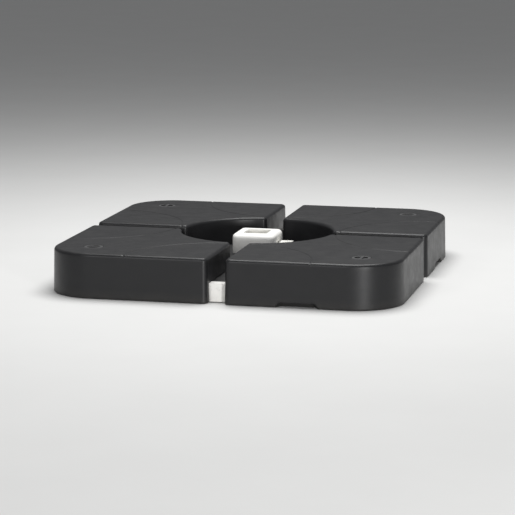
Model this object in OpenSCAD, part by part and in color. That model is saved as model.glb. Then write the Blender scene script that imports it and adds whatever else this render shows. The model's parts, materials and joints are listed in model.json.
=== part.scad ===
// Base for a cantilever parasol: a black steel cross frame, a turning mast foot with a pedal lock,
// and four water-filled tanks that rest over the arms of the cross. Millimetres, Z up,
// origin on the ground under the middle of the cross, -Y is the front.

/* [Tanks] */
// Side of one square tank
tank_side = 500; // [480:10:560]
// Gap between neighbouring tanks
tank_gap = 48; // [40:2:56]
// Height of a tank
tank_h = 132; // [126:1:150]
// Radius of a tank's outer vertical corner
corner_r = 145; // [100:5:170]
// Radius of the round opening in the middle of the four tanks
opening_r = 230; // [200:5:240]
// Wall thickness of a tank
wall = 5; // [3:0.5:6]
// Radius of the groove on a tank's top, about the middle of each side of the base
groove_r = 275; // [240:5:290]
// Distance of a filler cap from the centre lines of the base
cap_place = 400; // [360:5:410]

/* [Cross frame] */
// Width of an arm
arm_w = 80; // [70:1:90]
// Height of an arm
arm_h = 50; // [44:1:52]
// Wall thickness of an arm
arm_wall = 2.5; // [2:0.5:4]
// How far an arm stops short of the tanks' outer faces
arm_recess = 30; // [10:1:60]
// Thickness of the rubber pads under the arms
pad_h = 4; // [3:0.5:6]

/* [Mast foot] */
// Width of the foot's cover
cover_w = 132; // [132:1:140]
// Inside width of the mast sleeve
socket_w = 72; // [70:0.5:74]
// Height of the cover's top above the lock ring
cover_rise = 61; // [60:1:66]
// Radius of the circle that the lock holes lie on
lock_r = 52; // [51:0.5:52]
// Number of lock holes, a multiple of four
lock_count = 12; // [4:4:16]
// Length of the pedal outside its pivot
tread_len = 35; // [30:1:40]

/* [Hidden] */
$fn = 48;

// Tank
eps = 1;                                 // overshoot of a cut
half = tank_side + tank_gap / 2;         // half the width of the whole base
inner = tank_gap / 2;                    // centre line to a tank's inner face
gap_r = 18;                              // vertical edges at the gap
nose_r = 16;                             // edges where the opening meets the gap
draft = 4;                               // a tank narrows by this much towards its top
arm_top = pad_h + arm_h;
rebate_h = arm_top + 3;
rebate_w = arm_w / 2 + 3;
rebate_end = half - arm_recess + 2;       // the rebate stops short of the outer faces
groove_w = 5;
groove_d = 2;
well_r = 29;
cap_r = 28;
well_d = 10;
neck_r = 17;
finger_x = [175, 300];
finger_h = 15;
finger_d = 22;
finger_ramp = 13;
water_level = 110;
nose_y = inner + nose_r;
nose_x = sqrt(pow(opening_r + nose_r, 2) - pow(nose_y, 2));
nose_a = atan2(nose_y, nose_x);

// Cross frame
arm_end = half - arm_recess;
cap_t = 4;
cap_skin = 1.5;                          // end caps wrap round the arms
cap_len = 32;
plate_w = 250;
plate_t = 6;
plate_top = arm_top + plate_t;
bolt_place = 105;
bolt_r = 5;
bolt_across = 17;
bolt_head = 6.4;
washer_t = 2;
pad_places = [150, arm_end - cap_len - 27];
pad_size = [60, 40];
pad_stem_r = 4;
ring_t = 6;
ring_r = 74;
ring_top = plate_top + ring_t;
ring_screw_r = 66;
ring_screw = 3;

// Mast foot
table_z = ring_top + 1.5;
table_t = 6;
table_top = table_z + table_t;
table_w = cover_w - 8;
post_r = 20;
stub_r = 12;
bush_r = 24;
bush_top = table_top + 3;
run_gap = 0.05;
shoulder_z = bush_top + 0.3;
hold_t = 3;                              // washer and nut that hold the foot down
hold_nut = 9;
cover_wall = 3.5;
cover_r = 18;                            // upright corners of the cover
edge_r = 12;                             // round edge of the cover's top
edge_angles = [for (a = [0:15:90]) a];
cover_top = ring_top + cover_rise;
sleeve_wall = 3;
sleeve_top = cover_top - cover_wall;
clamp_zs = [table_top + 12, table_top + 34];
pivot_x = cover_w / 2 + 8;
pivot_z = table_top + 18;
pin_r = 5;
collar_z = pivot_z + 3.3;
collar_t = 3;
collar_r = 9.5;
guide_z = table_top + 40;
ear_y = 22;
ear_t = 4;

function arc(c, r, a0, a1, n) =
  [for (i = [0:n]) let (a = a0 + (a1 - a0) * i / n) [c[0] + r * cos(a), c[1] + r * sin(a)]];

// Outline of the front right tank, moved inwards by d
function tank_outline(d) = concat(
  arc([inner + gap_r, -half + gap_r], gap_r - d, 180, 270, 5),
  arc([half - corner_r, -half + corner_r], corner_r - d, 270, 360, 14),
  arc([half - gap_r, -inner - gap_r], gap_r - d, 0, 90, 5),
  arc([nose_x, -nose_y], nose_r - d, 90, 180 - nose_a, 4),
  arc([0, 0], opening_r + d, -nose_a - 4, nose_a - 86, 16),
  arc([nose_y, -nose_x], nose_r - d, 90 + nose_a, 180, 4)
);

// Outline of a rectangle with round corners, moved inwards by d
function round_outline(w, h, r, d = 0) = concat(
  arc([w / 2 - r, h / 2 - r], r - d, 0, 90, 6),
  arc([r - w / 2, h / 2 - r], r - d, 90, 180, 6),
  arc([r - w / 2, r - h / 2], r - d, 180, 270, 6),
  arc([w / 2 - r, r - h / 2], r - d, 270, 360, 6)
);

// A closed skin over rings, each a height and an outline with the same, even number of points.
// Each end is closed by strips that join the first half of an outline to the second.
module skin(heights, outlines) {
  n = len(outlines[0]);
  m = len(heights);
  last = (m - 1) * n;
  points = [for (k = [0:m - 1]) for (p = outlines[k]) [p[0], p[1], heights[k]]];
  sides = [
    for (k = [0:m - 2]) for (i = [0:n - 1])
      let (j = (i + 1) % n) [k * n + i, (k + 1) * n + i, (k + 1) * n + j, k * n + j]
  ];
  strips = [for (i = [0:n / 2 - 2]) for (t = [[i, i + 1, n - 2 - i], [i, n - 2 - i, n - 1 - i]]) t];
  top = [for (t = strips) [last + t[2], last + t[1], last + t[0]]];
  polyhedron(points, concat(strips, top, sides));
}

module slab(outline, z0, z1) {
  translate([0, 0, z0]) linear_extrude(z1 - z0) polygon(outline);
}

module block(low, high) {
  translate(low) cube(high - low);
}

module rod(r, z0, z1) {
  translate([0, 0, z0]) cylinder(r = r, h = z1 - z0);
}

module tube(r_out, r_in, z0, z1) {
  difference() {
    rod(r_out, z0, z1);
    rod(r_in, z0 - eps, z1 + eps);
  }
}

module hexagon(across, z0, z1) {
  translate([0, 0, z0]) cylinder(r = across / sqrt(3), h = z1 - z0, $fn = 6);
}

module four_ways() {
  for (a = [0:90:270]) rotate(a) children();
}

// Cross frame

module arm(y0, y1) {
  side = arm_w / 2;
  hollow = side - arm_wall;
  difference() {
    block([-side, y0, pad_h], [side, y1, arm_top]);
    block([-hollow, y0 - eps, pad_h + arm_wall], [hollow, y1 + eps, arm_top - arm_wall]);
    for (way = [-1, 1]) {
      translate([0, way * bolt_place, 0]) rod(bolt_r + 0.5, arm_top - 2 * arm_wall, arm_top + eps);
      for (place = pad_places) translate([0, way * place, 0]) rod(pad_stem_r, 0, pad_h + 2 * arm_wall);
    }
  }
}

module long_arm() {
  color([0.08, 0.08, 0.085]) arm(cap_t - arm_end, arm_end - cap_t);
}

module side_arm_left() {
  color([0.08, 0.08, 0.085]) rotate(90) arm(arm_w / 2, arm_end - cap_t);
}

module side_arm_right() {
  color([0.08, 0.08, 0.085]) rotate(-90) arm(arm_w / 2, arm_end - cap_t);
}

module arm_end_caps() {
  side = arm_w / 2 + cap_skin;
  color([0.92, 0.92, 0.89]) four_ways() difference() {
    block([-side, arm_end - cap_len, pad_h - cap_skin], [side, arm_end, arm_top + cap_skin]);
    block([-arm_w / 2, arm_end - cap_len - eps, pad_h], [arm_w / 2, arm_end - cap_t, arm_top]);
  }
}

module foot_pads() {
  color([0.12, 0.12, 0.12]) four_ways() for (place = pad_places) translate([0, place, 0]) {
    block([-pad_size[0] / 2, -pad_size[1] / 2, 0], [pad_size[0] / 2, pad_size[1] / 2, pad_h]);
    rod(pad_stem_r, pad_h, pad_h + arm_wall + 3);
  }
}

module centre_plate() {
  color([0.08, 0.08, 0.085]) difference() {
    slab(round_outline(plate_w, plate_w, 25), arm_top, plate_top);
    four_ways() {
      translate([0, bolt_place, 0]) rod(bolt_r + 0.5, arm_top - eps, plate_top + eps);
      rotate(45) translate([0, ring_screw_r, 0]) rod(ring_screw, arm_top - eps, plate_top + eps);
    }
  }
}

module plate_bolts() {
  color([0.72, 0.73, 0.75]) four_ways() translate([0, bolt_place, 0]) {
    rod(bolt_r, arm_top - 16, plate_top + washer_t);
    hexagon(bolt_across, plate_top + washer_t, plate_top + washer_t + bolt_head);
  }
}

module plate_washers() {
  color([0.70, 0.71, 0.73]) four_ways() translate([0, bolt_place, 0]) {
    tube(10, bolt_r + 0.3, plate_top, plate_top + washer_t);
  }
}

module plate_nuts() {
  nut_top = arm_top - arm_wall;
  color([0.72, 0.73, 0.75]) four_ways() translate([0, bolt_place, 0]) difference() {
    hexagon(bolt_across, nut_top - 8.4, nut_top);
    rod(bolt_r, nut_top - 10, nut_top + eps);
  }
}

module lock_ring() {
  color([0.55, 0.56, 0.58]) difference() {
    rod(ring_r, plate_top, ring_top);
    rod(post_r + 0.5, plate_top - eps, ring_top + eps);
    for (i = [0:lock_count - 1]) rotate(i * 360 / lock_count) {
      translate([lock_r, 0, 0]) rod(pin_r + 0.3, plate_top - eps, ring_top + eps);
    }
    four_ways() rotate(45) translate([0, ring_screw_r, 0]) {
      rod(ring_screw, plate_top - eps, ring_top + eps);
      countersink();
    }
  }
}

module ring_screws() {
  color([0.72, 0.73, 0.75]) four_ways() rotate(45) translate([0, ring_screw_r, 0]) {
    rod(ring_screw, arm_top, ring_top - ring_screw);
    countersink();
  }
}

module countersink() {
  translate([0, 0, ring_top - ring_screw]) cylinder(r1 = ring_screw, r2 = 2 * ring_screw, h = ring_screw);
}

module pivot_post() {
  color([0.70, 0.71, 0.73]) {
    rod(post_r, plate_top, shoulder_z);
    rod(stub_r, shoulder_z, shoulder_z + hold_t + hold_nut + 1);
  }
}

module thrust_washer() {
  color([0.92, 0.92, 0.88]) tube(44, post_r + 1, ring_top, table_z - 0.2);
}

module retaining_washer() {
  color([0.72, 0.73, 0.75]) tube(28, stub_r + 0.3, shoulder_z, shoulder_z + hold_t);
}

module retaining_nut() {
  color([0.72, 0.73, 0.75]) difference() {
    hexagon(36, shoulder_z + hold_t, shoulder_z + hold_t + hold_nut);
    rod(stub_r, shoulder_z, shoulder_z + 20);
  }
}

// Mast foot

module turntable() {
  color([0.60, 0.61, 0.63]) difference() {
    union() {
      slab(round_outline(table_w, table_w, 20), table_z, table_top);
      block([0, -27, table_z], [pivot_x + 9, 27, table_top]);
    }
    rod(bush_r, table_z - eps, table_top + eps);
    translate([lock_r, 0, 0]) rod(pin_r + run_gap, table_z - eps, table_top + eps);
    at_guide_screws() rod(2, table_z - eps, table_top + eps);
    at_cover_screws() rod(1.5, -16, 10);
  }
}

module pivot_bush() {
  color([0.80, 0.62, 0.30]) difference() {
    union() {
      rod(bush_r, table_z, table_top);
      rod(30, table_top, bush_top);
    }
    rod(post_r + run_gap, table_z - eps, bush_top + eps);
  }
}

module at_clamp_screws() {
  for (a = [90, 180]) for (z = clamp_zs) rotate(a) translate([0, 0, z]) rotate([0, 90, 0]) children();
}

module mast_sleeve() {
  outer = socket_w + 2 * sleeve_wall;
  color([0.86, 0.86, 0.83]) difference() {
    slab(round_outline(outer, outer, 11), table_top, sleeve_top);
    slab(round_outline(socket_w, socket_w, 8), table_top - eps, sleeve_top + eps);
    at_clamp_screws() rod(4, 0, socket_w);
  }
}

module clamp_nuts() {
  face = socket_w / 2 + sleeve_wall;
  color([0.72, 0.73, 0.75]) at_clamp_screws() difference() {
    hexagon(13, face, face + 6.5);
    rod(4, face - eps, face + 8);
  }
}

module clamp_screws() {
  color([0.30, 0.30, 0.32]) at_clamp_screws() difference() {
    rod(4, socket_w / 2 + 0.2, socket_w / 2 + 16);
    hexagon(4, socket_w / 2 + 11, socket_w / 2 + 17);
  }
}

module at_cover_screws() {
  for (a = [0, 180]) for (x = [-45, 45]) {
    rotate(a) translate([x, cover_w / 2, table_z + table_t / 2]) rotate([-90, 0, 0]) children();
  }
}

module foot_cover() {
  low = table_z + 0.5;
  inside = cover_w - 2 * cover_wall;
  hollow_r = edge_r - cover_wall;
  mouth = socket_w + 1;
  bends = concat([0], edge_angles);
  color([0.92, 0.92, 0.89]) difference() {
    skin(
      concat([low], [for (a = edge_angles) cover_top - edge_r * (1 - sin(a))]),
      [for (a = bends) round_outline(cover_w, cover_w, cover_r, edge_r * (1 - cos(a)))]
    );
    skin(
      concat([low - eps], [for (a = edge_angles) cover_top - edge_r + hollow_r * sin(a)]),
      [for (a = bends) round_outline(cover_w, cover_w, cover_r, edge_r - hollow_r * cos(a))]
    );
    slab(round_outline(mouth, mouth, 8.5), low, cover_top + eps);
    block([inside / 2 - 5, -28, low - eps], [cover_w / 2 + eps, 28, table_top + 0.5]);
    block([inside / 2 - 5, -13, table_top], [cover_w / 2 + eps, 13, pivot_z + 8]);
    at_clamp_screws() rod(6, inside / 2 - 5, cover_w / 2 + eps);
    at_cover_screws() rod(1.7, -10, 10);
  }
}

module cover_screws() {
  color([0.72, 0.73, 0.75]) at_cover_screws() {
    rod(1.5, -15, 0);
    difference() {
      rod(3, 0, 2);
      hexagon(2.5, 0.8, 3);
    }
  }
}

module at_pivot() {
  translate([pivot_x, 0, pivot_z]) rotate([-90, 0, 0]) children();
}

module pedal_bracket() {
  color([0.86, 0.86, 0.83]) difference() {
    for (side = [-1, 1]) translate([0, side * (ear_y + ear_t / 2), 0]) {
      block([pivot_x - 7, -ear_t / 2, table_top], [pivot_x + 7, ear_t / 2, pivot_z + 6]);
    }
    at_pivot() rod(3, -40, 40);
  }
}

module pedal_pin() {
  tip = ear_y + ear_t;
  color([0.72, 0.73, 0.75]) at_pivot() {
    rod(3, -tip, tip + 3);
    rod(5, -tip - 2.5, -tip);
  }
}

module pin_clip() {
  tip = ear_y + ear_t;
  color([0.30, 0.30, 0.32]) at_pivot() tube(6, 3, tip + 0.2, tip + 1.4);
}

module at_guide_screws() {
  for (side = [-1, 1]) translate([lock_r, side * 22.5, 0]) children();
}

module pin_guide() {
  color([0.60, 0.61, 0.63]) difference() {
    for (side = [0, 1]) mirror([0, side, 0]) {
      block([lock_r - 8, 14, table_top], [lock_r + 8, 17, guide_z + 3]);
      block([lock_r - 8, 14, table_top], [lock_r + 8, 27, table_top + 3]);
      block([lock_r - 8, -1, guide_z], [lock_r + 8, 17, guide_z + 3]);
    }
    translate([lock_r, 0, 0]) rod(pin_r + run_gap, guide_z - eps, guide_z + 5);
    at_guide_screws() rod(2, table_top - eps, table_top + 5);
  }
}

module guide_screws() {
  color([0.72, 0.73, 0.75]) at_guide_screws() {
    rod(2, table_z + 1, table_top + 3);
    hexagon(7, table_top + 3, table_top + 6);
  }
}

module lock_pin() {
  color([0.75, 0.76, 0.78]) translate([lock_r, 0, 0]) {
    rod(pin_r, ring_top - 4, guide_z + 4);
    rod(collar_r, collar_z, collar_z + collar_t);
  }
}

// Compression spring: a round wire wound about the lock pin
module lock_spring() {
  wire = 0.8;
  coil_r = 7.2;
  turns = 4;
  steps = 18;
  z0 = collar_z + collar_t + wire;
  rise = guide_z - wire - z0;
  count = turns * steps;
  points = [
    for (i = [0:count]) for (k = [0:7])
      let (a = i * 360 / steps, b = k * 45, r = coil_r + wire * cos(b))
        [lock_r + r * cos(a), r * sin(a), z0 + rise * i / count + wire * sin(b)]
  ];
  sides = [
    for (i = [0:count - 1]) for (k = [0:7])
      let (m = (k + 1) % 8) [i * 8 + k, i * 8 + m, i * 8 + 8 + m, i * 8 + 8 + k]
  ];
  start = [for (k = [0:7]) 7 - k];
  finish = [for (k = [0:7]) count * 8 + k];
  color([0.75, 0.76, 0.78]) polyhedron(points, concat([start, finish], sides));
}

module lock_pedal() {
  tread_z = pivot_z + 1;
  color([0.92, 0.92, 0.89]) difference() {
    union() {
      at_pivot() rod(6, 0.3 - ear_y, ear_y - 0.3);
      block([pivot_x, 1 - ear_y, tread_z], [pivot_x + tread_len, ear_y - 1, tread_z + 6]);
      for (i = [0:4]) translate([pivot_x + 11 + 5.5 * i, 0, 0]) {
        block([-1, 4 - ear_y, tread_z + 6], [1, ear_y - 4, tread_z + 7]);
      }
      for (side = [-1, 1]) translate([0, side * 8.5, 0]) {
        block([lock_r, -3, pivot_z - 2.5], [pivot_x, 3, pivot_z + 2.5]);
        translate([lock_r, -3, pivot_z]) rotate([-90, 0, 0]) cylinder(r = 3, h = 6);
      }
    }
    at_pivot() rod(3 + run_gap, -40, 40);
  }
}

// Tanks, drawn at the front right and turned to the other three corners

module tank() {
  color([0.07, 0.07, 0.075]) difference() {
    union() {
      difference() {
        skin(
          [0, 4, tank_h - 10, tank_h - 3, tank_h],
          [for (d = [3, 0, draft, draft + 3, draft + 10]) tank_outline(d)]
        );
        tank_cavity();
      }
      translate([cap_place, -cap_place, 0]) rod(well_r + wall, tank_h - well_d - wall, tank_h);
    }
    block([0, -rebate_end, -eps], [rebate_w, 0, rebate_h]);
    block([0, -rebate_w, -eps], [rebate_end, 0, rebate_h]);
    translate([cap_place, -cap_place, 0]) {
      rod(well_r, tank_h - well_d, tank_h + eps);
      rod(neck_r, tank_h - 2 * well_d, tank_h);
    }
    translate([half, 0, 0]) arc_groove();
    translate([0, -half, 0]) arc_groove();
    finger_recess(0);
  }
}

module arc_groove() {
  tube(groove_r + groove_w / 2, groove_r - groove_w / 2, tank_h - groove_d, tank_h + eps);
}

// Hollow inside a tank, clear of the rebate over the arms and of the finger recess
module tank_cavity() {
  side = rebate_w + wall;
  difference() {
    slab(tank_outline(draft + wall), wall, tank_h - wall);
    block([0, -rebate_end - wall, 0], [side, 0, rebate_h + wall]);
    block([0, -side, 0], [rebate_end + wall, 0, rebate_h + wall]);
    finger_recess(wall);
  }
}

module finger_recess(margin) {
  low = finger_x[0] - margin;
  high = finger_x[1] + margin;
  top = finger_h + margin;
  translate([0, -half + finger_d + margin, 0]) rotate([90, 0, 0]) linear_extrude(finger_d + margin + 10) {
    polygon([[low, -eps], [low + finger_ramp, top], [high - finger_ramp, top], [high, -eps]]);
  }
}

module water() {
  side = rebate_w + wall + 1;
  color([0.55, 0.68, 0.75]) difference() {
    slab(tank_outline(draft + wall + 1), wall, water_level);
    block([0, -rebate_end - wall - 1, 0], [side, 0, rebate_h + wall + 1]);
    block([0, -side, 0], [rebate_end + wall + 1, 0, rebate_h + wall + 1]);
    finger_recess(wall + 1);
  }
}

module filler_cap() {
  floor_z = tank_h - well_d;
  color([0.06, 0.06, 0.06]) translate([cap_place, -cap_place, 0]) difference() {
    union() {
      rod(neck_r - 0.4, floor_z - 8, floor_z + 3);
      rod(cap_r, floor_z + 2, tank_h - 0.5);
    }
    for (side = [-1, 1]) difference() {
      rod(cap_r - 8, tank_h - 3.5, tank_h);
      block([-4, -30, 0], [4, 30, tank_h + eps]);
      block([side * 30 - 30, -30, 0], [side * 30 + 30, 30, tank_h + eps]);
    }
    rod(neck_r - 4, floor_z - 9, floor_z + 1);
  }
}

module cap_gasket() {
  floor_z = tank_h - well_d;
  color([0.35, 0.35, 0.35]) translate([cap_place, -cap_place, 0]) {
    tube(24, neck_r + 0.5, floor_z, floor_z + 2);
  }
}

long_arm();
side_arm_left();
side_arm_right();
arm_end_caps();
foot_pads();
centre_plate();
plate_bolts();
plate_washers();
plate_nuts();
lock_ring();
ring_screws();
pivot_post();
thrust_washer();
retaining_washer();
retaining_nut();
turntable();
pivot_bush();
mast_sleeve();
clamp_nuts();
clamp_screws();
foot_cover();
cover_screws();
pedal_bracket();
pedal_pin();
pin_clip();
pin_guide();
guide_screws();
lock_pin();
lock_spring();
lock_pedal();
tank();  // tank_front_right
rotate(90) tank();  // tank_rear_right
rotate(180) tank();  // tank_rear_left
rotate(270) tank();  // tank_front_left
water();  // water_front_right
rotate(90) water();  // water_rear_right
rotate(180) water();  // water_rear_left
rotate(270) water();  // water_front_left
filler_cap();  // filler_cap_front_right
rotate(90) filler_cap();  // filler_cap_rear_right
rotate(180) filler_cap();  // filler_cap_rear_left
rotate(270) filler_cap();  // filler_cap_front_left
cap_gasket();  // cap_gasket_front_right
rotate(90) cap_gasket();  // cap_gasket_rear_right
rotate(180) cap_gasket();  // cap_gasket_rear_left
rotate(270) cap_gasket();  // cap_gasket_front_left
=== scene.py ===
"""Parasol base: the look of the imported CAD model, in metres and in its frame."""

import json
import math

import bmesh
import bpy
from mathutils import Matrix, Vector
from mathutils.geometry import delaunay_2d_cdt


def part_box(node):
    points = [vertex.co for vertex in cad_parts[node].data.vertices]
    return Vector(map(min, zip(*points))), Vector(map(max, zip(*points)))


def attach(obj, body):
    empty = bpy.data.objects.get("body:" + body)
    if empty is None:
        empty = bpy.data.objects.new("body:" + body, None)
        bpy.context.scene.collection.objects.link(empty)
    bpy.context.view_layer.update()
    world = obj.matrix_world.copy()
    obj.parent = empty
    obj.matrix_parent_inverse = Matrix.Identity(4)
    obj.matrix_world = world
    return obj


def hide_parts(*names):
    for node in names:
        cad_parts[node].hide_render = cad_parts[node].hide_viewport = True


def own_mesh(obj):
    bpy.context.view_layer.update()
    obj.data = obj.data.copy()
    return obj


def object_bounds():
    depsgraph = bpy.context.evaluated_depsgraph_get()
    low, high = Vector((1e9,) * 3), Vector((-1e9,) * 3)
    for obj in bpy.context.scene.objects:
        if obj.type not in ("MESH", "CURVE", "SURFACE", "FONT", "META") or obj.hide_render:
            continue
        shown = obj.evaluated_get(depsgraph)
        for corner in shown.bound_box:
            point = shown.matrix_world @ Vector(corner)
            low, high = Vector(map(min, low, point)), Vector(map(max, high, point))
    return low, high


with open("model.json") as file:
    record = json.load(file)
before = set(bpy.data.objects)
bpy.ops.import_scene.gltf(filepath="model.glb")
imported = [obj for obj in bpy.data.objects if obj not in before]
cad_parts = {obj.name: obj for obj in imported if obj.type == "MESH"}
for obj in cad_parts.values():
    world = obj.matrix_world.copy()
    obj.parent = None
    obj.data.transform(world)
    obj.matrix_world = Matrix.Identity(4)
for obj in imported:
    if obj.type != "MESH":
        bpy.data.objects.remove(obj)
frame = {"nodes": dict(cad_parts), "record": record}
cad_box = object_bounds()

CORNERS = ["front_right", "rear_right", "rear_left", "front_left"]

# Tank sizes, as the CAD part has them
HALF = cad_box[1].x                # half the width of the whole base
INNER = 0.024                      # centre line to a tank's inner face
TANK_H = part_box("tank_front_right")[1].z
CORNER_R = 0.145
OPENING_R = 0.230
GAP_R = 0.018
NOSE_R = 0.016
LOW_INNER = 0.043                  # inner face of the part that stands beside the arms
LOW_CORNER_R = 0.003
LIP_START = 0.496                  # beyond this the low part is as wide as the rest
LEDGE_Z = 0.057                    # where the tank steps over the arms
DRAFT = 0.003
TOP_FILLET = 0.010
GROOVE_R = 0.275
GROOVE_HALF = 0.0040
GROOVE_DEPTH = 0.0016
RECESS_X = (0.175, 0.300)
RECESS_RAMP = 0.013
RECESS_H = 0.015
RECESS_D = 0.022
WELL = (0.4, -0.4)
WELL_R = 0.029
WELL_DEPTH = 0.010
NECK_R = 0.017
WELL_SIDES = 48

FLOOR_HALF = 14.0
FLOOR_Z = -0.0005                  # just under the pads, so that the faces don't fight


# ---------------------------------------------------------------- materials


def new_material(name):
    """A material whose graph holds only a Principled shader and the output."""
    mat = bpy.data.materials.new(name)
    mat.use_nodes = True
    tree = mat.node_tree
    tree.nodes.clear()
    out = tree.nodes.new("ShaderNodeOutputMaterial")
    shader = tree.nodes.new("ShaderNodeBsdfPrincipled")
    tree.links.new(shader.outputs["BSDF"], out.inputs["Surface"])
    return mat, tree, shader


def object_coords(tree):
    return tree.nodes.new("ShaderNodeTexCoord").outputs["Object"]


def noise(tree, coords, scale, detail=3.0, roughness=0.5):
    node = tree.nodes.new("ShaderNodeTexNoise")
    node.inputs["Scale"].default_value = scale
    node.inputs["Detail"].default_value = detail
    node.inputs["Roughness"].default_value = roughness
    tree.links.new(coords, node.inputs["Vector"])
    return node.outputs["Fac"]


def ramp(tree, value, low, high, out_low=0.0, out_high=1.0):
    """Maps value from low..high to out_low..out_high, and holds it there outside."""
    node = tree.nodes.new("ShaderNodeMapRange")
    node.inputs["From Min"].default_value = low
    node.inputs["From Max"].default_value = high
    node.inputs["To Min"].default_value = out_low
    node.inputs["To Max"].default_value = out_high
    tree.links.new(value, node.inputs["Value"])
    return node.outputs["Result"]


def math_node(tree, kind, a, b=None):
    node = tree.nodes.new("ShaderNodeMath")
    node.operation = kind
    for socket, value in zip(node.inputs, (a, b)):
        if value is None:
            continue
        if isinstance(value, (int, float)):
            socket.default_value = value
        else:
            tree.links.new(value, socket)
    return node.outputs["Value"]


def mix_colour(tree, factor, a, b):
    """Colour a where factor is 0, b where it is 1; a and b are RGB triples or sockets."""
    node = tree.nodes.new("ShaderNodeMix")
    node.data_type = "RGBA"
    tree.links.new(factor, node.inputs["Factor"])
    for socket, value in ((node.inputs[6], a), (node.inputs[7], b)):
        if isinstance(value, tuple):
            socket.default_value = (*value, 1.0)
        else:
            tree.links.new(value, socket)
    return node.outputs[2]


def bump(tree, shader, height, strength, distance, under=None):
    node = tree.nodes.new("ShaderNodeBump")
    node.inputs["Strength"].default_value = strength
    node.inputs["Distance"].default_value = distance
    tree.links.new(height, node.inputs["Height"])
    if under is not None:
        tree.links.new(under, node.inputs["Normal"])
    tree.links.new(node.outputs["Normal"], shader.inputs["Normal"])
    return node.outputs["Normal"]


def edge_wear(tree, low=0.52, high=0.60):
    """1 on convex edges, 0 on flats."""
    geometry = tree.nodes.new("ShaderNodeNewGeometry")
    return ramp(tree, geometry.outputs["Pointiness"], low, high)


def upward(tree, low=0.6, high=0.98):
    """1 where the surface faces up, so that dust can lie there."""
    geometry = tree.nodes.new("ShaderNodeNewGeometry")
    split = tree.nodes.new("ShaderNodeSeparateXYZ")
    tree.links.new(geometry.outputs["Normal"], split.inputs["Vector"])
    return ramp(tree, split.outputs["Z"], low, high)


def height_fade(tree, coords, low, high):
    """1 at height low, falling to 0 at height high, for dirt splashed up from the ground."""
    split = tree.nodes.new("ShaderNodeSeparateXYZ")
    tree.links.new(coords, split.inputs["Vector"])
    return ramp(tree, split.outputs["Z"], low, high, 1.0, 0.0)


def tank_plastic():
    """Blow-moulded black polyethylene: fine pebbled grain, slight waviness, dust and scuffed edges."""
    mat, tree, shader = new_material("tank_plastic")
    coords = object_coords(tree)
    blotch = noise(tree, coords, 9.0, 4.0, 0.6)
    base = mix_colour(tree, blotch, (0.010, 0.010, 0.011), (0.015, 0.015, 0.016))
    scuff = math_node(tree, "MULTIPLY", edge_wear(tree), noise(tree, coords, 60.0, 5.0, 0.7))
    base = mix_colour(tree, scuff, base, (0.060, 0.060, 0.062))
    dust_patch = ramp(tree, noise(tree, coords, 26.0, 8.0, 0.7), 0.40, 0.75, 0.02, 0.13)
    dust = math_node(tree, "MULTIPLY", dust_patch, upward(tree))
    base = mix_colour(tree, dust, base, (0.14, 0.137, 0.13))
    splash = height_fade(tree, coords, 0.0, 0.03)
    splash = math_node(tree, "MULTIPLY", splash, noise(tree, coords, 45.0, 5.0))
    base = mix_colour(tree, math_node(tree, "MULTIPLY", splash, 0.35), base, (0.08, 0.075, 0.065))
    tree.links.new(base, shader.inputs["Base Color"])
    rough = ramp(tree, noise(tree, coords, 30.0, 4.0, 0.6), 0.3, 0.7, 0.33, 0.43)
    dusty = math_node(tree, "MULTIPLY", dust, 0.4)
    tree.links.new(math_node(tree, "ADD", rough, dusty), shader.inputs["Roughness"])
    shader.inputs["IOR"].default_value = 1.50
    shader.inputs["Specular IOR Level"].default_value = 0.33
    waves = bump(tree, shader, noise(tree, coords, 7.0, 2.0, 0.4), 0.25, 0.002)
    bump(tree, shader, noise(tree, coords, 900.0, 2.0, 0.5), 0.22, 0.0004, waves)
    return mat


def cap_plastic():
    """Injection-moulded black cap: finer and glossier than the tank."""
    mat, tree, shader = new_material("cap_plastic")
    coords = object_coords(tree)
    base = mix_colour(tree, noise(tree, coords, 40.0), (0.022, 0.022, 0.023), (0.034, 0.034, 0.035))
    base = mix_colour(tree, math_node(tree, "MULTIPLY", edge_wear(tree), 0.6), base, (0.085, 0.085, 0.085))
    tree.links.new(base, shader.inputs["Base Color"])
    tree.links.new(ramp(tree, noise(tree, coords, 80.0), 0.3, 0.7, 0.34, 0.5), shader.inputs["Roughness"])
    bump(tree, shader, noise(tree, coords, 1600.0, 2.0), 0.12, 0.0002)
    return mat


def white_finish(name, light, dark, rough_low, rough_high, peel):
    """Off-white paint or plastic with orange peel, grime near the ground and worn edges."""
    mat, tree, shader = new_material(name)
    coords = object_coords(tree)
    base = mix_colour(tree, noise(tree, coords, 12.0, 4.0, 0.6), light, dark)
    grime = height_fade(tree, coords, 0.0, 0.09)
    grime = math_node(tree, "MULTIPLY", grime, noise(tree, coords, 35.0, 6.0, 0.7))
    base = mix_colour(tree, math_node(tree, "MULTIPLY", grime, 0.35), base, (0.42, 0.40, 0.35))
    worn = ramp(tree, noise(tree, coords, 90.0, 5.0, 0.7), 0.55, 0.75)
    worn = math_node(tree, "MULTIPLY", worn, edge_wear(tree, 0.54, 0.66))
    base = mix_colour(tree, math_node(tree, "MULTIPLY", worn, 0.5), base, (0.45, 0.44, 0.42))
    tree.links.new(base, shader.inputs["Base Color"])
    rough = ramp(tree, noise(tree, coords, 25.0), 0.3, 0.7, rough_low, rough_high)
    tree.links.new(rough, shader.inputs["Roughness"])
    bump(tree, shader, noise(tree, coords, peel, 2.0, 0.5), 0.10, 0.0003)
    return mat


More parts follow.
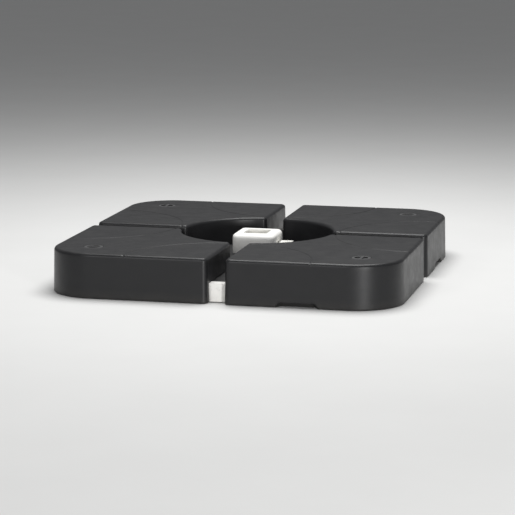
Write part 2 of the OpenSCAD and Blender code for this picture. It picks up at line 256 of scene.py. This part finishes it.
def black_coating():
    """Powder coat on the steel cross: black, with a fine orange peel and chips on its edges."""
    mat, tree, shader = new_material("black_coating")
    coords = object_coords(tree)
    base = mix_colour(tree, noise(tree, coords, 15.0, 4.0, 0.6), (0.014, 0.014, 0.015), (0.024, 0.024, 0.025))
    chips = ramp(tree, noise(tree, coords, 110.0, 5.0, 0.7), 0.62, 0.72)
    chips = math_node(tree, "MULTIPLY", chips, edge_wear(tree, 0.54, 0.64))
    base = mix_colour(tree, chips, base, (0.16, 0.16, 0.16))
    dust = ramp(tree, noise(tree, coords, 30.0, 6.0, 0.65), 0.4, 0.75, 0.02, 0.14)
    dust = math_node(tree, "MULTIPLY", dust, upward(tree))
    base = mix_colour(tree, dust, base, (0.14, 0.135, 0.125))
    tree.links.new(base, shader.inputs["Base Color"])
    tree.links.new(ramp(tree, noise(tree, coords, 30.0), 0.3, 0.7, 0.34, 0.5), shader.inputs["Roughness"])
    bump(tree, shader, noise(tree, coords, 500.0, 2.0, 0.5), 0.14, 0.0003)
    return mat


def metal(name, light, dark, rough_low, rough_high, stretch=(1.0, 1.0, 1.0)):
    """Bright or blackened steel, or bronze: fine turned or drawn marks and cloudy plating."""
    mat, tree, shader = new_material(name)
    coords = object_coords(tree)
    mapping = tree.nodes.new("ShaderNodeMapping")
    mapping.inputs["Scale"].default_value = stretch
    tree.links.new(coords, mapping.inputs["Vector"])
    marks = noise(tree, mapping.outputs["Vector"], 700.0, 3.0, 0.6)
    cloud = noise(tree, coords, 70.0, 4.0, 0.6)
    tree.links.new(mix_colour(tree, cloud, light, dark), shader.inputs["Base Color"])
    shader.inputs["Metallic"].default_value = 1.0
    tree.links.new(ramp(tree, cloud, 0.3, 0.7, rough_low, rough_high), shader.inputs["Roughness"])
    bump(tree, shader, marks, 0.15, 0.0002)
    return mat


def rubber():
    mat, tree, shader = new_material("pad_rubber")
    coords = object_coords(tree)
    base = mix_colour(tree, noise(tree, coords, 50.0, 5.0), (0.018, 0.018, 0.018), (0.04, 0.039, 0.037))
    tree.links.new(base, shader.inputs["Base Color"])
    tree.links.new(ramp(tree, noise(tree, coords, 60.0), 0.3, 0.7, 0.7, 0.9), shader.inputs["Roughness"])
    bump(tree, shader, noise(tree, coords, 1200.0, 3.0), 0.3, 0.0003)
    return mat


def nylon():
    mat, tree, shader = new_material("nylon")
    coords = object_coords(tree)
    base = mix_colour(tree, noise(tree, coords, 60.0, 3.0), (0.72, 0.71, 0.64), (0.62, 0.60, 0.52))
    tree.links.new(base, shader.inputs["Base Color"])
    tree.links.new(ramp(tree, noise(tree, coords, 90.0), 0.3, 0.7, 0.35, 0.5), shader.inputs["Roughness"])
    bump(tree, shader, noise(tree, coords, 900.0, 2.0), 0.1, 0.0002)
    return mat


def water():
    """Ballast water, seen only when a tank is opened: clear, faintly blue, with a rippled surface."""
    mat, tree, shader = new_material("water")
    coords = object_coords(tree)
    base = mix_colour(tree, noise(tree, coords, 6.0), (0.75, 0.86, 0.90), (0.62, 0.78, 0.84))
    tree.links.new(base, shader.inputs["Base Color"])
    shader.inputs["Roughness"].default_value = 0.04
    shader.inputs["IOR"].default_value = 1.33
    shader.inputs["Transmission Weight"].default_value = 0.9
    bump(tree, shader, noise(tree, coords, 25.0, 2.0), 0.05, 0.001)
    return mat


# Light and dark colour, lowest and highest roughness, scale of the orange peel
WHITE_STEEL = ((0.86, 0.85, 0.81), (0.80, 0.79, 0.74), 0.32, 0.46, 420.0)
WHITE_PLASTIC = ((0.90, 0.89, 0.86), (0.86, 0.85, 0.82), 0.38, 0.52, 1100.0)

MATERIALS = {
    "tank_plastic": tank_plastic(),
    "cap_plastic": cap_plastic(),
    "black_coating": black_coating(),
    "white_coating": white_finish("white_coating", *WHITE_STEEL),
    "white_plastic": white_finish("white_plastic", *WHITE_PLASTIC),
    "zinc_steel": metal("zinc_steel", (0.66, 0.67, 0.68), (0.50, 0.51, 0.52), 0.28, 0.48),
    "dark_steel": metal("dark_steel", (0.16, 0.16, 0.17), (0.10, 0.10, 0.10), 0.35, 0.5),
    "bush_bronze": metal("bush_bronze", (0.72, 0.48, 0.22), (0.58, 0.38, 0.18), 0.25, 0.42, (1.0, 1.0, 8.0)),
    "nylon": nylon(),
    "pad_rubber": rubber(),
    "water": water(),
}


EDGE_WIDTHS = [
    (0.0022, ["long_arm", "side_arm_left", "side_arm_right"]),
    (0.0009, ["foot_cover", "lock_pedal", "arm_end_caps", "centre_plate", "turntable"]),
    (0.0007, ["filler_cap_" + corner for corner in CORNERS]),
    (0.0005, ["pedal_bracket", "mast_sleeve", "lock_ring", "pin_guide", "thrust_washer", "retaining_washer"]),
    (0.0003, ["plate_bolts", "plate_washers", "cover_screws", "retaining_nut", "pivot_post", "pedal_pin"]),
]


def paint_cad_nodes():
    """Each CAD node takes the material of its slot."""
    for part in frame["record"]["subparts"]:
        obj = frame["nodes"][part["node"]]
        obj.data.materials.clear()
        obj.data.materials.append(MATERIALS[part["material_slot"]])


def soften(node, width, segments=3):
    """Rounds a CAD node's edges with a bevel modifier."""
    obj = frame["nodes"][node]
    mod = obj.modifiers.new("soft_edges", "BEVEL")
    mod.width = width
    mod.segments = segments
    mod.limit_method = "ANGLE"
    mod.angle_limit = math.radians(40)
    obj.data.polygons.foreach_set("use_smooth", [True] * len(obj.data.polygons))
    flat = obj.modifiers.new("shade", "WEIGHTED_NORMAL")
    flat.keep_sharp = True


# ---------------------------------------------------------------- tank shell


def arc(centre, radius, start, end, count):
    """Points on an arc, angles in degrees, count steps."""
    points = []
    for i in range(count + 1):
        a = math.radians(start + (end - start) * i / count)
        points.append((centre[0] + radius * math.cos(a), centre[1] + radius * math.sin(a)))
    return points


def face_stops(near):
    """Distances along an outer face where the outline needs points, from near to the corner's arc."""
    low, high = RECESS_X
    stops = {near + 0.012, near + 0.04, 0.10, 0.14}
    stops.update(low - 0.006 + 0.003 * i for i in range(8))
    stops.update(high - RECESS_RAMP - 0.006 + 0.003 * i for i in range(8))
    stops.update(0.200 + 0.008 * i for i in range(10))
    stops.update(GROOVE_R - 0.008 + 0.002 * i for i in range(9))
    stops.update((0.32, 0.34, 0.36))
    ordered = sorted(stops)
    kept = [ordered[0]]
    for stop in ordered[1:]:
        if stop - kept[-1] > 0.0012:
            kept.append(stop)
    return kept


FACE_STOPS = face_stops(INNER + GAP_R)
SEAM_STOPS = [0.502, 0.4964, 0.4956, 0.47, 0.44, 0.40, 0.36, 0.32, 0.30, 0.285, 0.275, 0.268, 0.262, 0.258]
SEAM_STOPS += [0.2565 - 0.0018 * i for i in range(6)]


def outline(inset, low):
    """The front right tank's outline, anticlockwise from the front end of its left face.

    low is True for the narrower part beside the arms. Both have the same number of points,
    and the same points wherever the two parts share a face.
    """
    inner = LOW_INNER if low else INNER
    nose_r = LOW_CORNER_R if low else NOSE_R
    nose_y = inner + nose_r
    nose_x = math.sqrt((OPENING_R + nose_r) ** 2 - nose_y**2)
    nose_a = math.degrees(math.atan2(nose_y, nose_x))
    edge = HALF - inset
    seam = [(x, (INNER if x > LIP_START else inner) + inset) for x in SEAM_STOPS]
    points = arc((INNER + GAP_R, -HALF + GAP_R), GAP_R - inset, 180, 270, 8)
    points += [(x, -edge) for x in FACE_STOPS]
    points += arc((HALF - CORNER_R, -HALF + CORNER_R), CORNER_R - inset, 270, 360, 40)
    points += [(edge, -y) for y in reversed(FACE_STOPS)]
    points += arc((HALF - GAP_R, -INNER - GAP_R), GAP_R - inset, 0, 90, 8)
    points += [(x, -y) for x, y in seam]
    points += arc((nose_x, -nose_y), nose_r - inset, 90, 180 - nose_a, 8)
    points += arc((0, 0), OPENING_R + inset, -14, -76, 40)
    points += arc((nose_y, -nose_x), nose_r - inset, 90 + nose_a, 180, 8)
    points += [(y, -x) for x, y in reversed(seam)]
    return points


def recess_weight(x, y):
    """1 in the finger recess of the front face, 0 beside it, sloping over its ramps."""
    if y > -HALF + 0.012:
        return 0.0
    low, high = RECESS_X
    rise = min((x - low) / RECESS_RAMP, (high - x) / RECESS_RAMP, 1.0)
    return max(0.0, rise)


def groove(x, y):
    """Depth of the two arc grooves at a point of the top."""
    depth = 0.0
    for cx, cy in ((HALF, 0.0), (0.0, -HALF)):
        off = abs(math.hypot(x - cx, y - cy) - GROOVE_R) / GROOVE_HALF
        if off < 1.0:
            depth = max(depth, GROOVE_DEPTH * 0.5 * (1 + math.cos(math.pi * off)))
    return depth


def fillet_rings(radius, top, base_inset, count):
    """(height, inset) of rings from the top of a wall up and over a round edge."""
    rings = []
    for i in range(count + 1):
        a = math.pi / 2 * i / count
        rings.append((top - radius + radius * math.sin(a), base_inset + radius * (1 - math.cos(a))))
    return rings


def side_profile():
    """Rings of the tank's side from the ground up: (height, inset, recess height, recess depth, low part)."""
    rings = [
        (0.0, 0.0030, 0.0, RECESS_D + 0.002, True),
        (0.0003, 0.0016, 0.003, RECESS_D, True),
        (0.0014, 0.0005, RECESS_H - 0.003, RECESS_D, True),
        (0.0030, 0.0000, RECESS_H - 0.0006, RECESS_D - 0.002, True),
        (0.0060, 0.0001, RECESS_H, 0.0030, True),
        (0.0100, 0.0002, RECESS_H + 0.0008, 0.0009, True),
        (0.0150, 0.0003, RECESS_H + 0.0030, 0.0002, True),
    ]
    for z in (0.024, 0.036, 0.048, LEDGE_Z - 0.0012):
        rings.append((z, DRAFT * z / TANK_H, z, DRAFT * z / TANK_H, True))
    at_ledge = DRAFT * LEDGE_Z / TANK_H
    rings.append((LEDGE_Z, at_ledge, LEDGE_Z, at_ledge, True))
    rings.append((LEDGE_Z, at_ledge, LEDGE_Z, at_ledge, False))
    rings.append((LEDGE_Z + 0.0012, at_ledge, LEDGE_Z + 0.0012, at_ledge, False))
    for z in (0.066, 0.076, 0.088, 0.100, 0.112):
        rings.append((z, DRAFT * z / TANK_H, z, DRAFT * z / TANK_H, False))
    for z, inset in fillet_rings(TOP_FILLET, TANK_H, DRAFT * 0.9, 8):
        rings.append((z, inset, z, inset, False))
    return rings


def ring_points(ring):
    z, inset, recess_z, recess_inset, low = ring
    points = []
    top_weight = max(0.0, min(1.0, (z - (TANK_H - TOP_FILLET)) / TOP_FILLET))
    for x, y in outline(inset, low):
        w = recess_weight(x, y)
        height = z + w * (recess_z - z)
        y_in = y + w * (recess_inset - inset)
        points.append((x, y_in, height - groove(x, y) * top_weight))
    return points


def fill_flat(loop, holes, inside_points, height):
    """Triangles of a region inside loop and outside its round holes.

    Returns the vertices, the triangles, and where each point of loop ended up among the vertices.
    """
    points = [Vector((p[0], p[1])) for p in loop]
    edges = []
    faces = [list(range(len(loop)))]
    for hole in holes:
        start = len(points)
        points += [Vector((p[0], p[1])) for p in hole]
        count = len(hole)
        edges += [(start + i, start + (i + 1) % count) for i in range(count)]
    points += [Vector(p) for p in inside_points]
    verts, _, tris, origin, _, _ = delaunay_2d_cdt(points, edges, faces, 1, 1e-7)
    order = {}
    for new, olds in enumerate(origin):
        for old in olds:
            order[old] = new
    discs = [hole_disc(hole) for hole in holes]
    kept = []
    for tri in tris:
        centre = sum((verts[i] for i in tri), Vector((0, 0))) / 3
        if any((centre - Vector(c)).length < r for c, r in discs):
            continue
        kept.append(tri)
    coords = [(v.x, v.y, height(v.x, v.y)) for v in verts]
    return coords, kept, order


def hole_disc(hole):
    cx = sum(p[0] for p in hole) / len(hole)
    cy = sum(p[1] for p in hole) / len(hole)
    radius = math.hypot(hole[0][0] - cx, hole[0][1] - cy)
    return (cx, cy), radius * 0.999


def inside(point, polygon):
    x, y = point
    hit = False
    for (ax, ay), (bx, by) in zip(polygon, polygon[1:] + polygon[:1]):
        if (ay > y) != (by > y) and x < ax + (y - ay) * (bx - ax) / (by - ay):
            hit = not hit
    return hit


def top_points(edge_loop):
    """Points inside the top: a grid, and rows that follow the grooves."""
    margin = 0.004
    polygon = [(p[0], p[1]) for p in edge_loop]
    edge = [Vector(p) for p in polygon]

    def clear(point):
        if not inside(point, polygon):
            return False
        if math.hypot(point[0] - WELL[0], point[1] - WELL[1]) < WELL_R + 0.006:
            return False
        return min((Vector(point) - e).length for e in edge) > margin

    points = []
    for centre, start, end in (((HALF, 0.0), 180.0, 270.0), ((0.0, -HALF), 90.0, 0.0)):
        for side in (-1.6, -1.0, -0.7, -0.35, 0.0, 0.35, 0.7, 1.0, 1.6):
            points += arc(centre, GROOVE_R + side * GROOVE_HALF, start, end, 84)
    grid = 0.022
    clearance = 0.012
    cells = range(1, int(HALF / grid) + 1)
    for i in cells:
        for j in cells:
            x, y = i * grid, -j * grid
            to_side = abs(math.hypot(x - HALF, y) - GROOVE_R)
            to_front = abs(math.hypot(x, y + HALF) - GROOVE_R)
            if min(to_side, to_front) > clearance:
                points.append((x, y))
    return [p for p in points if clear(p)]


def circle(centre, radius):
    angles = [2 * math.pi * i / WELL_SIDES for i in range(WELL_SIDES)]
    return [(centre[0] + radius * math.cos(a), centre[1] + radius * math.sin(a)) for a in angles]


def tank_mesh():
    """The front right tank's skin: side rings, underside, grooved top, and the filler's well and neck."""
    bm = bmesh.new()
    rings = [[bm.verts.new(p) for p in ring_points(ring)] for ring in side_profile()]
    count = len(rings[0])
    for lower, upper in zip(rings, rings[1:]):
        for i in range(count):
            j = (i + 1) % count
            bm.faces.new((lower[i], lower[j], upper[j], upper[i]))

    well_edge = WELL_R + 0.0010
    top_loop = [tuple(v.co) for v in rings[-1]]
    well = circle(WELL, well_edge)
    coords, tris, order = fill_flat(
        top_loop, [well], top_points(top_loop), lambda x, y: TANK_H - groove(x, y)
    )
    made = [bm.verts.new(c) for c in coords]
    for i in range(len(top_loop)):
        made[order[i]].co = rings[-1][i].co
    for tri in tris:
        bm.faces.new([made[i] for i in tri])

    bottom_loop = [tuple(v.co) for v in rings[0]]
    grid = [(0.03 * i, -0.03 * j) for i in range(2, 17) for j in range(2, 17)]
    polygon = [(p[0], p[1]) for p in bottom_loop]
    rim = [Vector(p) for p in polygon]
    grid = [p for p in grid if inside(p, polygon) and min((Vector(p) - r).length for r in rim) > 0.012]
    coords, tris, _ = fill_flat(bottom_loop, [], grid, lambda x, y: 0.0)
    under = [bm.verts.new(c) for c in coords]
    for tri in tris:
        bm.faces.new([under[i] for i in reversed(tri)])

    well_floor = TANK_H - WELL_DEPTH
    rows = [(well_edge, TANK_H), (WELL_R + 0.0003, TANK_H - 0.0003), (WELL_R, TANK_H - 0.0010)]
    rows += [(WELL_R, well_floor + 0.002), (WELL_R - 0.0006, well_floor + 0.0005)]
    rows += [(WELL_R - 0.002, well_floor)]
    rows += [(NECK_R + 0.001, well_floor), (NECK_R, well_floor - 0.001), (NECK_R, well_floor - 0.0056)]
    loops = [[bm.verts.new((x, y, z)) for x, y in circle(WELL, r)] for r, z in rows]
    for upper, lower in zip(loops, loops[1:]):
        for i in range(WELL_SIDES):
            j = (i + 1) % WELL_SIDES
            bm.faces.new((upper[i], upper[j], lower[j], lower[i]))
    bm.faces.new(loops[-1])

    bmesh.ops.remove_doubles(bm, verts=bm.verts, dist=2e-6)
    bmesh.ops.dissolve_degenerate(bm, edges=bm.edges, dist=2e-6)
    bmesh.ops.recalc_face_normals(bm, faces=bm.faces)
    mesh = bpy.data.meshes.new("tank_skin")
    bm.to_mesh(mesh)
    bm.free()
    mesh.polygons.foreach_set("use_smooth", [True] * len(mesh.polygons))
    mesh.set_sharp_from_angle(angle=math.radians(38))
    return mesh


def make_tanks():
    mesh = tank_mesh()
    mesh.materials.append(MATERIALS["tank_plastic"])
    for k, corner in enumerate(CORNERS):
        turned = mesh.copy()
        turned.transform(Matrix.Rotation(math.pi / 2 * k, 4, "Z"))
        obj = bpy.data.objects.new("tank_shell_" + corner, turned)
        bpy.context.scene.collection.objects.link(obj)
        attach(obj, corner + "_tank")
        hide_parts("tank_" + corner)


# ---------------------------------------------------------------- lock spring


def spring_path(angle, turns, closed, wire):
    """Share of the spring's height at an angle in turns; the ends are wound close."""
    close = closed * 2 * wire
    if angle < closed:
        return close * angle / closed
    if angle > turns - closed:
        return 1 - close * (turns - angle) / closed
    return close + (1 - 2 * close) * (angle - closed) / (turns - 2 * closed)


def make_spring():
    """Round-wire spring on the lock pin's collar; the real one shortens under the guide as the pin rises, but
    this coil keeps its shape and moves with the pin.
    """
    low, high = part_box("lock_spring")
    wire = 0.0008
    gap = 0.0001
    turns = 4
    closed = 0.6
    centre = (low + high) / 2
    coil = (high.x - low.x) / 2 - wire
    start = low.z + wire + gap
    rise = high.z - wire - gap - start
    bm = bmesh.new()
    rings = []
    per_turn = 32
    round_wire = 10
    for i in range(turns * per_turn + 1):
        a = 2 * math.pi * i / per_turn
        z = start + rise * spring_path(i / per_turn, turns, closed, wire / rise)
        ring = []
        for k in range(round_wire):
            b = 2 * math.pi * k / round_wire
            r = coil + wire * math.cos(b)
            place = (centre.x + r * math.cos(a), centre.y + r * math.sin(a), z + wire * math.sin(b))
            ring.append(bm.verts.new(place))
        rings.append(ring)
    for before, after in zip(rings, rings[1:]):
        for k in range(round_wire):
            m = (k + 1) % round_wire
            bm.faces.new((before[k], before[m], after[m], after[k]))
    bm.faces.new(rings[0])
    bm.faces.new(rings[-1])
    bmesh.ops.recalc_face_normals(bm, faces=bm.faces)
    mesh = bpy.data.meshes.new("spring_wire")
    bm.to_mesh(mesh)
    bm.free()
    mesh.polygons.foreach_set("use_smooth", [True] * len(mesh.polygons))
    mesh.set_sharp_from_angle(angle=math.radians(50))
    mesh.materials.append(MATERIALS["zinc_steel"])
    obj = bpy.data.objects.new("spring_coil", mesh)
    bpy.context.scene.collection.objects.link(obj)
    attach(obj, "pin")
    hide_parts("lock_spring")
    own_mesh(obj)


# ---------------------------------------------------------------- scene


def make_floor():
    mesh = bpy.data.meshes.new("floor")
    corners = [(-1, -1), (1, -1), (1, 1), (-1, 1)]
    verts = [(FLOOR_HALF * x, FLOOR_HALF * y, FLOOR_Z) for x, y in corners]
    mesh.from_pydata(verts, [], [(0, 1, 2, 3)])
    floor = bpy.data.objects.new("floor", mesh)
    bpy.context.scene.collection.objects.link(floor)
    mat, tree, shader = new_material("floor")
    coords = object_coords(tree)
    base = mix_colour(tree, noise(tree, coords, 3.0, 5.0, 0.6), (0.66, 0.66, 0.65), (0.70, 0.70, 0.69))
    tree.links.new(base, shader.inputs["Base Color"])
    shader.inputs["Roughness"].default_value = 0.85
    mesh.materials.append(mat)


def area_light(name, place, aim, size, power):
    data = bpy.data.lights.new(name, "AREA")
    data.shape = "DISK"
    data.size = size
    data.energy = power
    lamp = bpy.data.objects.new(name, data)
    lamp.location = place
    lamp.rotation_euler = (Vector(aim) - Vector(place)).to_track_quat("-Z", "Y").to_euler()
    bpy.context.scene.collection.objects.link(lamp)


def make_lights():
    world = bpy.data.worlds.new("studio")
    world.use_nodes = True
    background = world.node_tree.nodes["Background"]
    background.inputs["Color"].default_value = (0.97, 0.98, 1.0, 1.0)
    background.inputs["Strength"].default_value = 0.22
    bpy.context.scene.world = world
    bpy.context.scene.view_settings.view_transform = "Standard"
    area_light("overhead", (0.1, 0.3, 3.0), (0, 0, 0), 2.6, 120)
    area_light("right_front", (2.5, -4.0, 0.5), (0, 0, 0.05), 0.6, 85)
    area_light("left_front", (-1.2, -4.8, 1.6), (0, 0, 0.05), 1.4, 45)


def make_camera():
    """Looks down at the base a little from the right of its front, through a long lens."""
    data = bpy.data.cameras.new("camera")
    data.sensor_width = 36.0
    data.lens = 158.0
    data.clip_start = 0.05
    camera = bpy.data.objects.new("camera", data)
    camera.location = (1.581, -6.657, 1.282)
    aim = Vector((0.0, 0.0, 0.045))
    camera.rotation_mode = "QUATERNION"
    camera.rotation_quaternion = (aim - camera.location).to_track_quat("-Z", "Y")
    bpy.context.scene.collection.objects.link(camera)
    bpy.context.scene.camera = camera


make_camera()
make_floor()
make_lights()
paint_cad_nodes()
make_tanks()
make_spring()
for width, nodes in EDGE_WIDTHS:
    for node in nodes:
        soften(node, width)
